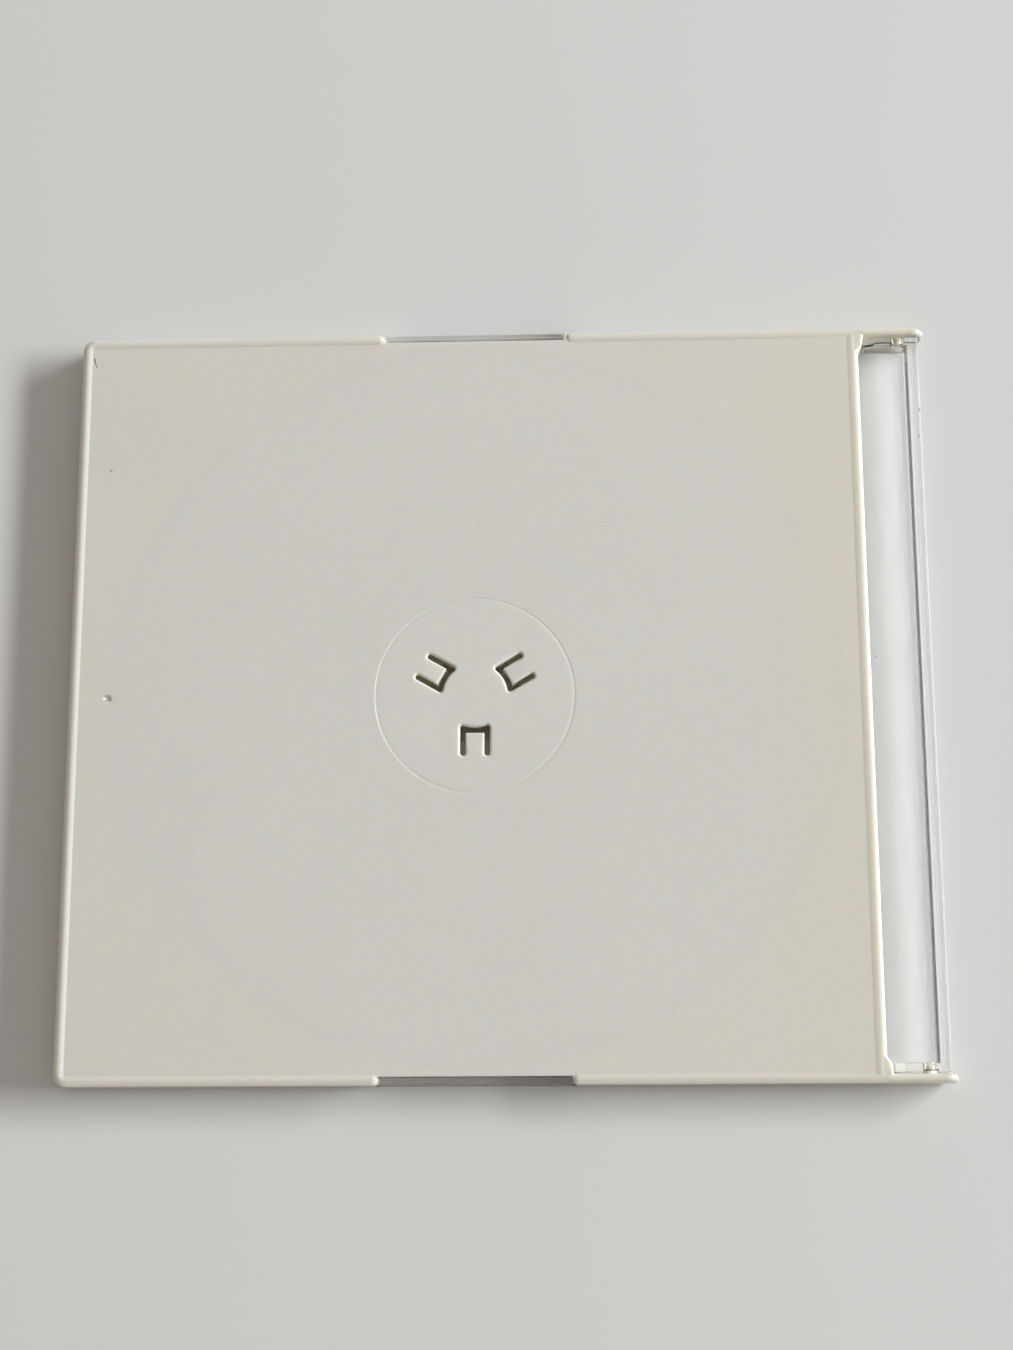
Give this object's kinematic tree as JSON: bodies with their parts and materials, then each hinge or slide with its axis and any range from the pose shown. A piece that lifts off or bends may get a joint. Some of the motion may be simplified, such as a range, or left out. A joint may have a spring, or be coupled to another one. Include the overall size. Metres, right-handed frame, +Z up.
{
  "type": "slim compact disc case",
  "caption": "Closed slim disc case lying face down: opaque tray with rim, hinge arms and spring hub, over a clear hinged lid with a spine channel, holding a plain disc.",
  "frame": {"origin": "middle of the case's outline, on the outer face of the clear lid that it lies on", "axes": "+X to the hinge side with the spine channel, +Y along the hinge, +Z up through the back of the tray"},
  "size_m": [0.142, 0.125, 0.0052],
  "materials": {
    "tray_polystyrene": "off-white opaque polystyrene, moulded satin",
    "clear_polystyrene": "clear crystal polystyrene, moulded glossy",
    "disc_polycarbonate": "metallised polycarbonate, lacquered and unprinted"
  },
  "bodies": {
    "lid": {"clear_lid": "clear_polystyrene"},
    "tray": {"tray": "tray_polystyrene", "disc": "disc_polycarbonate"}
  },
  "joints": [
    {"name": "case_hinge", "type": "hinge", "parent": "lid", "child": "tray", "pos_m": [0.0666, 0, 0.0026], "axis": [0, 1, 0], "range_deg": [0, 180]}
  ]
}
